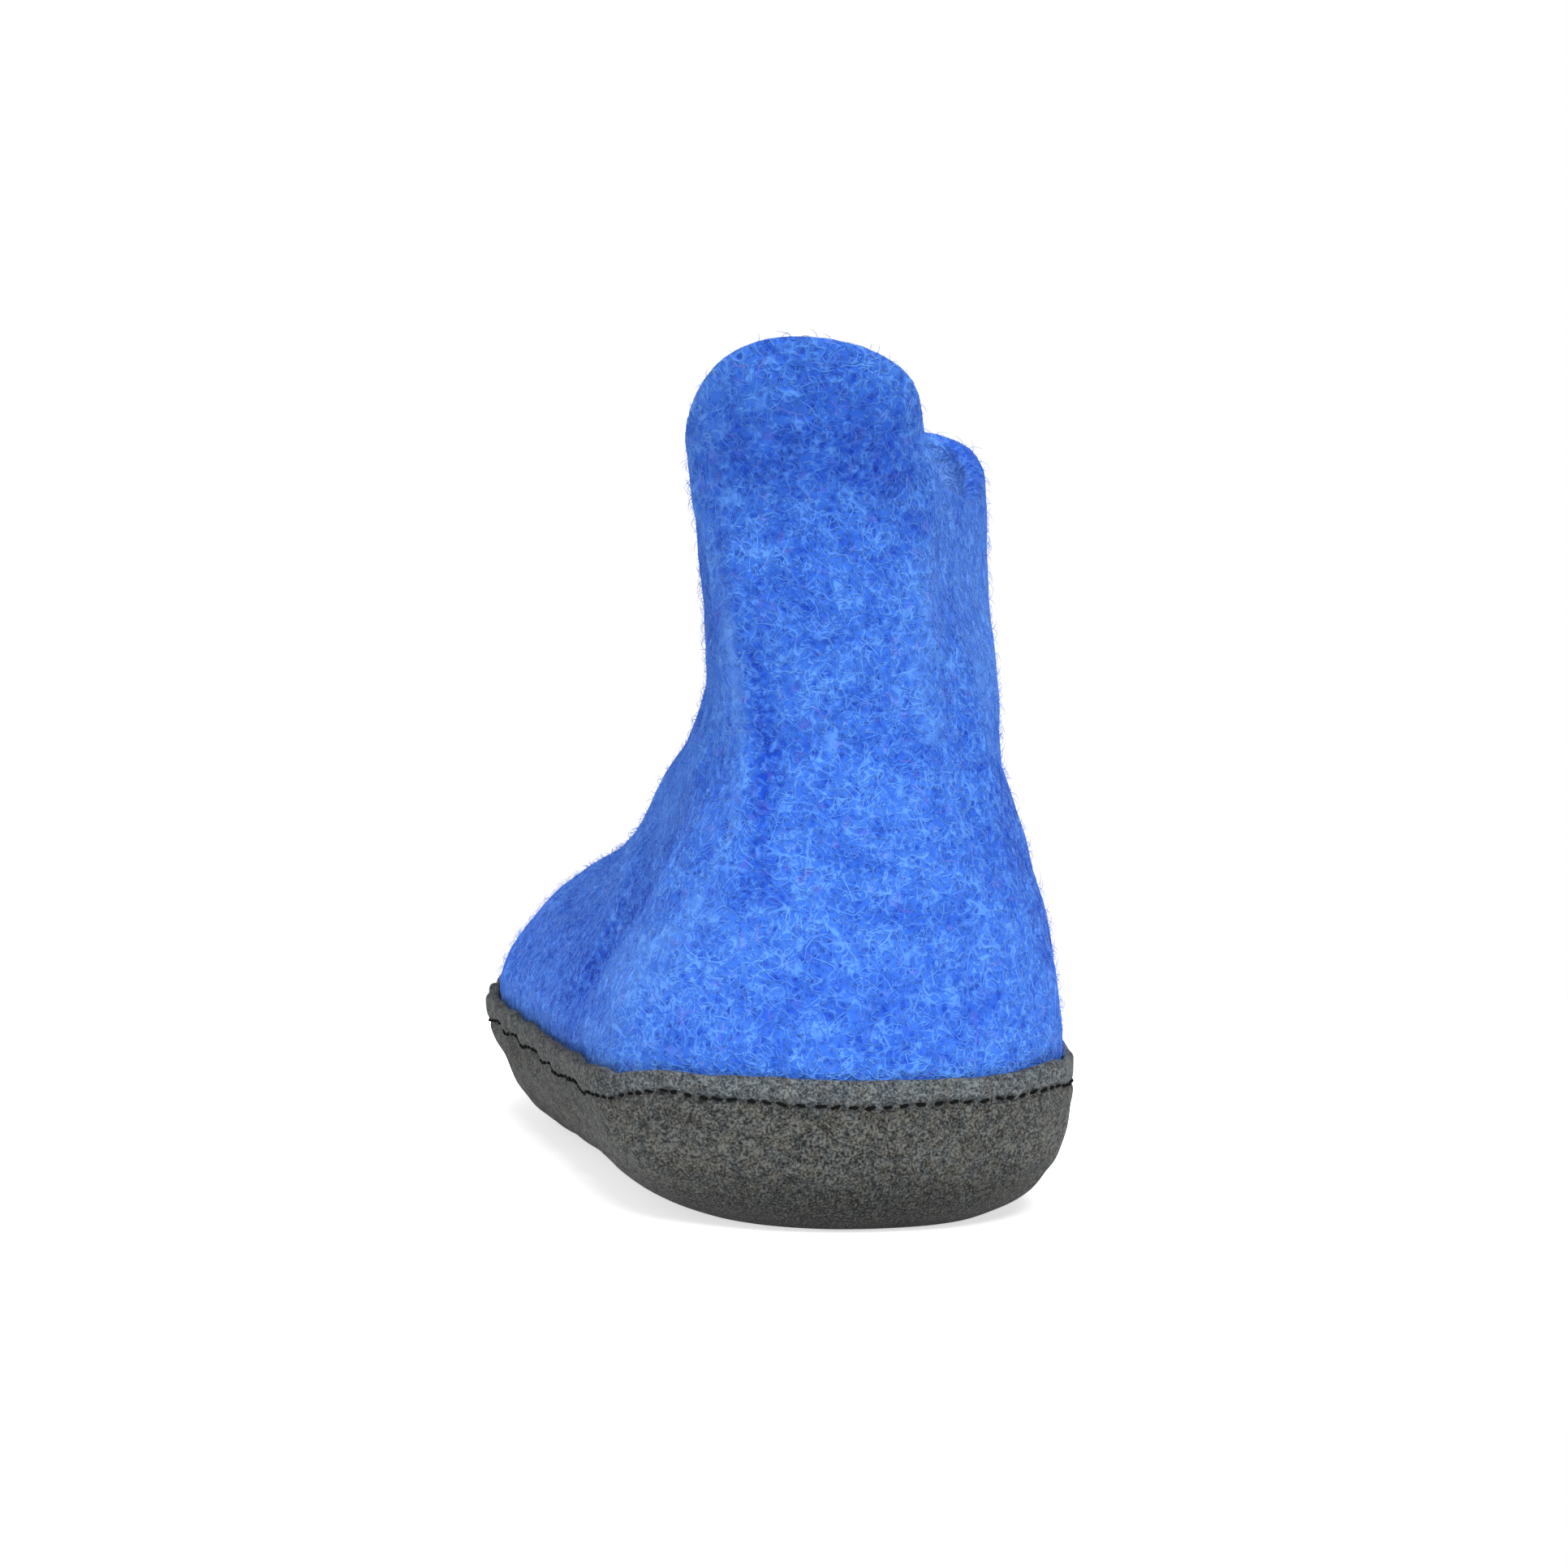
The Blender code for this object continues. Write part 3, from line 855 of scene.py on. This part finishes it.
def make_wool(draw):
    """Strands that lie on the felt, in several pieces, and short ends that stand off it."""
    pieces = []
    for number in range(STRAND_PIECES):
        paths, normals, radii = strand_paths(STRANDS_A_PIECE, draw)
        piece = tubes(f"wool_strands_{number + 1}", paths, normals, radii, WOOL_SIDES, WOOL_FLATNESS)
        tint = np.repeat(draw.uniform(0, 1, STRANDS_A_PIECE), STRAND_POINTS * WOOL_SIDES)
        value_of_each(piece.data, "tint", tint)
        # Painted highlights and painted shade, as on the felt below
        value_of_each(piece.data, "shade", np.repeat(felt_shade(paths), WOOL_SIDES))
        pieces.append(piece)
    paths, normals, radii = fuzz_paths(FUZZ_COUNT, draw)
    fuzz = tubes("wool_fuzz", paths, normals, radii, WOOL_SIDES)
    tint = np.repeat(draw.uniform(*FUZZ_TINTS, FUZZ_COUNT), len(FUZZ_PLACES) * WOOL_SIDES)
    value_of_each(fuzz.data, "tint", tint)
    return pieces + [fuzz]


def make_stitches():
    paths, normals, radii = stitch_paths()
    return tubes("stitches", paths, normals, radii, STITCH_SIDES)


def node(tree, kind, values, **settings):
    """Shader node with its settings, and its inputs set to values or joined to other nodes."""
    made = tree.nodes.new("ShaderNode" + kind)
    for name, value in settings.items():
        setattr(made, name, value)
    for name, value in values.items():
        if isinstance(value, bpy.types.NodeSocket):
            tree.links.new(value, made.inputs[name])
        else:
            made.inputs[name].default_value = value
    return made


def sums(tree, operation, first, second):
    return node(tree, "Math", {0: first, 1: second}, operation=operation).outputs[0]


def blend(tree, share, first, second, way="MIX"):
    """Mix of two colours."""
    mixed = node(tree, "Mix", {0: share, 6: first, 7: second}, data_type="RGBA", blend_type=way)
    return mixed.outputs[2]


def within(tree, value, low, high):
    """Value rescaled to 0 at low and 1 at high."""
    limits = {0: value, 1: low, 2: high}
    return node(tree, "MapRange", limits, interpolation_type="SMOOTHSTEP").outputs[0]


def noise(tree, place, length, detail=2.0):
    """Cloudy noise with features about as long as given in millimetres."""
    made = node(tree, "TexNoise", {"Vector": place, "Scale": 1 / (length * MM), "Detail": detail})
    return made.outputs["Fac"]


def clouds(tree, place, length, detail, share):
    """Share of a cloudy noise, for adding up."""
    return sums(tree, "MULTIPLY", noise(tree, place, length, detail), share)


def spots(tree, place, length, detail, limits, share):
    """Spots where the noise is past its limits."""
    return sums(tree, "MULTIPLY", within(tree, noise(tree, place, length, detail), *limits), share)


def stored(tree, name):
    """Number that was stored for each vertex."""
    return node(tree, "Attribute", {}, attribute_name=name).outputs["Fac"]


def vector(tree, operation, first, values):
    return node(tree, "VectorMath", {0: first, **values}, operation=operation).outputs[0]


def warped(tree, place, length, reach):
    """Places pushed about at random, so that what is drawn there curls."""
    push = node(tree, "TexNoise", {"Vector": place, "Scale": 1 / (length * MM), "Detail": 1.0})
    centred = vector(tree, "SUBTRACT", push.outputs["Color"], {1: (0.5, 0.5, 0.5)})
    scaled = vector(tree, "SCALE", centred, {"Scale": reach * MM})
    return vector(tree, "ADD", place, {1: scaled})


def pits(tree, place, length):
    """Small hollows about as far apart as given: 0 in each middle, 1 on the web between them."""
    curled = warped(tree, place, *(length * times for times in PIT_CURL))
    cells = node(tree, "TexVoronoi", {"Vector": curled, "Scale": 1 / (length * MM)})
    return within(tree, cells.outputs["Distance"], *PIT_LIMITS)


def fibres(tree, place, length):
    """Thin curly fibres about as far apart as given: 1 along the middle of each, 0 beside it."""
    curled = warped(tree, place, *(length * times for times in FIBRE_CURL))
    off = sums(tree, "ABSOLUTE", sums(tree, "SUBTRACT", noise(tree, curled, length, 0.0), 0.5), 0.0)
    broken = within(tree, noise(tree, curled, length * BREAK_LENGTH, 0.0), *BREAK_LIMITS)
    return sums(tree, "MULTIPLY", within(tree, off, *FIBRE_LIMITS), broken)


def new_material(name):
    """Material with its tree, its shader and object coordinates."""
    made = bpy.data.materials.new(name)
    made.use_nodes = True
    tree = made.node_tree
    shader = tree.nodes["Principled BSDF"]
    place = node(tree, "TexCoord", {}).outputs["Object"]
    return made, tree, shader, place


def lengthwise(tree, place):
    """Places for a grain that is longer from heel to toe than across the boot or up it."""
    return vector(tree, "MULTIPLY", place, {1: (1, 1 / GRAIN_RUN, 1)})


def bump(tree, shader, height, depth):
    """Bump of the given depth, in millimetres."""
    made = node(tree, "Bump", {"Height": height, "Strength": 1.0, "Distance": depth * MM})
    tree.links.new(made.outputs[0], shader.inputs["Normal"])


def mottled(tree, place, colour):
    """Colour with lines of painted highlight and painted shade, soft patches and rosy spots, on felt and
    strands alike.
    """
    shade = stored(tree, "shade")
    # Painted highlight where the stored shade is above nothing, painted shade in specks below it
    paler = blend(tree, within(tree, shade, 0.0, 1.0), colour, srgb(FELT_PALE))
    uneven = sums(tree, "ADD", spots(tree, place, *DARK_SPOTS), DARK_BETWEEN)
    dark = sums(tree, "MULTIPLY", within(tree, shade, 0.0, -1.0), uneven)
    darker = blend(tree, dark, paler, srgb(FELT_SHADE), "MULTIPLY")
    small, large = (clouds(tree, place, *row) for row in PATCH_CLOUDS)
    patches = within(tree, sums(tree, "ADD", small, large), *PATCH_LIMITS)
    share = sums(tree, "MULTIPLY", patches, PATCH_SHARE)
    patchy = blend(tree, share, darker, srgb(FELT_SHADE), "MULTIPLY")
    return blend(tree, spots(tree, place, *ROSY_SPOTS), patchy, srgb(FELT_PINK))


def felt_material(name):
    """Matted wool: pits darkened with painted shade, a web of light fibres over them, mottling and a soft
    haze.
    """
    made, tree, shader, place = new_material(name)
    place = lengthwise(tree, place)
    small, large = (
        sums(tree, "MULTIPLY", pits(tree, place, length), share)
        for length, share in zip(PIT_LENGTHS, PIT_SHARES)
    )
    thick = sums(tree, "ADD", small, large)
    ground = within(tree, thick, *GROUND_LIMITS)
    thin = fibres(tree, place, FIBRE_LENGTHS[0])
    for length in FIBRE_LENGTHS[1:]:
        thin = sums(tree, "MAXIMUM", thin, fibres(tree, place, length))
    # Painted shade in the small hollows, the felt's blue on the web between them
    base = blend(tree, ground, srgb(FELT_PIT_SHADE), srgb(FELT_BLUE))
    fibrous = blend(tree, sums(tree, "MULTIPLY", thin, FIBRE_SHARE), base, srgb(FELT_LIGHT))
    # Painted light: the inner face is paler, to lift the shade inside the collar
    inside = sums(tree, "MULTIPLY", stored(tree, "inside"), INSIDE_LIGHT_SHARE)
    paler = blend(tree, inside, fibrous, srgb(FELT_INSIDE_LIGHT))
    tree.links.new(mottled(tree, place, paler), shader.inputs["Base Color"])
    height = sums(tree, "ADD", thick, sums(tree, "MULTIPLY", thin, FIBRE_HEIGHT))
    bump(tree, shader, height, FELT_DEPTH)
    soft(shader, FELT_SHEEN, FELT_HAZE)
    return made


def shine(shader, settings):
    for name, setting in settings.items():
        shader.inputs[name].default_value = setting


def soft(shader, haze, tint):
    """Rough cloth with little shine and a haze of loose fibres."""
    shine(shader, {**CLOTH_SHINE, "Sheen Weight": haze, "Sheen Tint": srgb(tint)})


def wool_material():
    """Loose wool, from mid to light blue, with a strand here and there that is purple."""
    made, tree, shader, place = new_material("blue_wool")
    place = lengthwise(tree, place)
    ramp = node(tree, "ValToRGB", {"Fac": stored(tree, "tint")})
    stops = ramp.color_ramp.elements
    stops.remove(stops[1])
    stops[0].position = WOOL_TINTS[0][0]
    stops[0].color = srgb(WOOL_TINTS[0][1])
    for position, colour in WOOL_TINTS[1:]:
        stops.new(position).color = srgb(colour)
    tree.links.new(mottled(tree, place, ramp.outputs["Color"]), shader.inputs["Base Color"])
    soft(shader, WOOL_SHEEN, WOOL_HAZE)
    return made


def suede_material():
    """Grey suede flecked light and dark, warm and cool, paler above the stitches, and darker with
    painted shade near the floor, along the outer side and in the stitch groove."""
    made, tree, shader, place = new_material("grey_suede")
    place = lengthwise(tree, place)
    painted_shade = stored(tree, "painted_shade")
    band = stored(tree, "band")
    blotches = clouds(tree, place, *SUEDE_BLOTCHES)
    grain = clouds(tree, warped(tree, place, *SUEDE_CURL), *SUEDE_FLECKS)
    shift = sums(tree, "MULTIPLY", painted_shade, SHADE_SHIFT)
    flecks = sums(tree, "SUBTRACT", sums(tree, "ADD", blotches, grain), shift)
    hue = blend(tree, spots(tree, place, *WARM_SPOTS), srgb(SUEDE_COOL), srgb(SUEDE_WARM))
    ground = blend(tree, WARM_SHARE, srgb(SUEDE_MID), hue)
    dark = blend(tree, within(tree, flecks, *DARK_LIMITS), ground, srgb(SUEDE_DARK))
    light = blend(tree, within(tree, flecks, *LIGHT_LIMITS), dark, srgb(SUEDE_LIGHT))
    calmer = blend(tree, sums(tree, "MULTIPLY", band, BAND_CALM), light, srgb(SUEDE_MID))
    paler = blend(tree, band, calmer, SUEDE_RIM, "MULTIPLY")
    # Painted shade near the floor, along the outer side and in the stitch groove
    shaded = blend(tree, painted_shade, paler, srgb(SUEDE_SHADE), "MULTIPLY")
    fine = noise(tree, place, *SUEDE_FINE)
    specks = sums(tree, "MULTIPLY", within(tree, fine, *SPECK_LIMITS), SPECK_SHARE)
    colour = blend(tree, specks, shaded, srgb(SUEDE_LIGHT))
    tree.links.new(colour, shader.inputs["Base Color"])
    height = sums(tree, "ADD", flecks, sums(tree, "MULTIPLY", fine, FINE_HEIGHT))
    bump(tree, shader, height, SUEDE_DEPTH)
    shine(shader, SUEDE_SHINE)
    return made


def thread_material():
    """Black thread with the fine lines of its twist."""
    made, tree, shader, place = new_material("black_thread")
    twist = noise(tree, place, *THREAD_GRAIN)
    share = sums(tree, "MULTIPLY", twist, THREAD_SHARE)
    colour = blend(tree, share, srgb(THREAD_BLACK), srgb(SUEDE_DARK))
    tree.links.new(colour, shader.inputs["Base Color"])
    bump(tree, shader, twist, THREAD_DEPTH)
    shine(shader, THREAD_SHINE)
    return made


def floor_material():
    made, tree, shader, place = new_material("pale_floor")
    cloudy = blend(tree, noise(tree, place, *FLOOR_GRAIN), srgb(FLOOR_WHITE), srgb(FLOOR_CLOUD))
    tree.links.new(cloudy, shader.inputs["Base Color"])
    tree.links.new(cloudy, shader.inputs["Emission Color"])
    shine(shader, {"Emission Strength": FLOOR_GLOW, "Roughness": FLOOR_ROUGH})
    return made


def make_floor():
    mesh = bpy.data.meshes.new("floor")
    half = FLOOR_HALF
    corners = [(-half, -half, 0), (half, -half, 0), (half, half, 0), (-half, half, 0)]
    mesh.from_pydata(corners, [], [(0, 1, 2, 3)])
    floor = bpy.data.objects.new("floor", mesh)
    bpy.context.scene.collection.objects.link(floor)
    mesh.materials.append(floor_material())


def make_lights():
    """Wide, soft lights."""
    for name, (power, height, right) in LIGHTS.items():
        lamp = bpy.data.lights.new(name, "SUN")
        lamp.energy = power
        lamp.angle = math.radians(LIGHT_SPREAD)
        light = bpy.data.objects.new(name, lamp)
        light.rotation_euler = (math.radians(90 - height), 0, math.radians(right - CAMERA_TURN))
        bpy.context.scene.collection.objects.link(light)


def make_lamp():
    lamp = bpy.data.lights.new("collar", "SPOT")
    lamp.energy = LAMP_POWER
    lamp.spot_size = math.radians(LAMP_BEAM)
    lamp.spot_blend = LAMP_BLEND
    lamp.shadow_soft_size = LAMP_RADIUS
    light = bpy.data.objects.new("collar", lamp)
    beam = Vector(LAMP_TARGET) - Vector(LAMP_PLACE)
    light.location = Vector(LAMP_PLACE) * MM
    light.rotation_euler = beam.to_track_quat("-Z", "Y").to_euler()
    bpy.context.scene.collection.objects.link(light)


def make_world():
    """White backdrop that lights the boot less than it shows."""
    world = bpy.data.worlds.new("studio")
    world.use_nodes = True
    tree = world.node_tree
    seen = node(tree, "LightPath", {}).outputs["Is Camera Ray"]
    strength = node(tree, "MapRange", {0: seen, 3: SKY_POWER, 4: 1.0}).outputs[0]
    sky = tree.nodes["Background"]
    sky.inputs["Color"].default_value = (1.0, 1.0, 1.0, 1.0)
    tree.links.new(strength, sky.inputs["Strength"])
    bpy.context.scene.world = world


def make_camera():
    lens = bpy.data.cameras.new("camera")
    lens.lens = CAMERA_LENS
    lens.sensor_width = CAMERA_FILM
    camera = bpy.data.objects.new("camera", lens)
    camera.location = Vector(CAMERA_PLACE) * MM
    camera.rotation_euler = (math.radians(90 - CAMERA_DIP), 0, math.radians(-CAMERA_TURN))
    bpy.context.scene.collection.objects.link(camera)
    bpy.context.scene.camera = camera


def finish_piece(piece, material, node_name=None):
    """Material and body of a piece, with the solid part that it stands in for hidden."""
    piece.data.materials.append(material)
    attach(piece, "root")
    if node_name:
        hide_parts(node_name)


def main():
    bpy.context.scene.view_settings.view_transform = "Standard"
    make_camera()
    make_world()
    make_floor()
    make_lights()
    make_lamp()
    finish_piece(make_upper(), felt_material("blue_felt"), "upper")
    finish_piece(make_sole(), suede_material(), "sole")
    finish_piece(make_insole(), felt_material("insole_felt"), "insole")
    wool = wool_material()
    for piece in make_wool(np.random.default_rng(WOOL_SEED)):
        finish_piece(piece, wool)
    finish_piece(make_stitches(), thread_material())


main()
